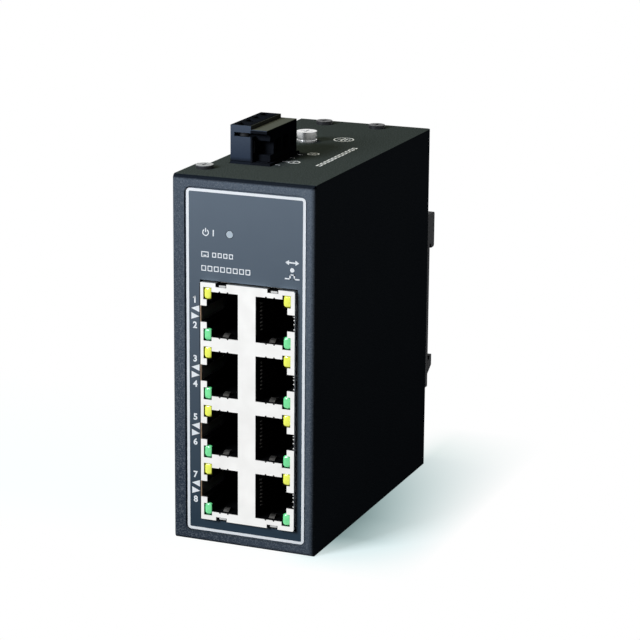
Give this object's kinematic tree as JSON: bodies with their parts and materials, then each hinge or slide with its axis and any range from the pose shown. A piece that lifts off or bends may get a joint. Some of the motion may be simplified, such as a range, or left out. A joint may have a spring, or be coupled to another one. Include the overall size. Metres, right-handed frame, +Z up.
{
  "type": "din rail ethernet switch",
  "caption": "Slim upright ethernet switch for a rail: folded metal case, stacked network sockets with link lamps on the front, plug-in power terminal on top and a sprung rail clip behind.",
  "frame": {"origin": "centre of the case's underside", "axes": "+X to the right of the front, +Y to the back, +Z up"},
  "size_m": [0.04, 0.0973, 0.1103],
  "materials": {
    "powder_coat": "fine matt texture",
    "label_film": "satin",
    "nickel_shield": "satin nickel",
    "socket_black": "satin",
    "contact_gold": "gold flash",
    "lamp_yellow": "clear tinted",
    "lamp_green": "clear tinted",
    "lamp_clear": "clear",
    "terminal_black": "satin",
    "zinc_plate": "bright zinc",
    "black_screw": "satin",
    "board_green": "satin",
    "chip_black": "matt",
    "can_metal": "satin",
    "tin_plate": "satin tin",
    "clip_plastic": "satin",
    "spring_steel": "drawn wire"
  },
  "bodies": {
    "case": {"chassis": "powder_coat", "side_plate": "powder_coat", "case_screws": "black_screw", "floor_screws": "black_screw", "front_label": "label_film", "jack_shield": "nickel_shield", "jack_housing": "socket_black", "jack_insert": "socket_black", "jack_contacts": "contact_gold", "link_leds_yellow": "lamp_yellow", "link_leds_green": "lamp_green", "power_led": "lamp_clear", "led_holder": "socket_black", "terminal_header": "terminal_black", "header_pins": "tin_plate", "ground_screw": "zinc_plate", "lock_washer": "zinc_plate", "ground_washer": "zinc_plate", "ground_nut": "zinc_plate", "main_board": "board_green", "board_standoffs": "zinc_plate", "board_screws": "zinc_plate", "switch_chip": "chip_black", "port_transformers": "chip_black", "crystal": "can_metal", "config_memory": "chip_black", "smoothing_capacitors": "can_metal", "power_inductor": "chip_black", "input_fuse": "chip_black", "rectifier": "chip_black", "din_bracket": "clip_plastic", "latch_spring": "spring_steel", "bracket_screws": "zinc_plate"},
    "latch": {"din_latch": "clip_plastic"},
    "plug": {"terminal_plug": "terminal_black", "plug_clamps": "zinc_plate", "plug_screws": "zinc_plate"}
  },
  "joints": [
    {"name": "latch_slide", "type": "slide", "parent": "case", "child": "latch", "axis": [0, 0, -1], "range_m": [0, 0.0035], "stiffness_N_per_m": 800, "springref_m": -0.002, "deforming": ["latch_spring"]},
    {"name": "plug_pull", "type": "slide", "parent": "case", "child": "plug", "axis": [0, 0, 1], "range_m": [0, 0.011]}
  ]
}
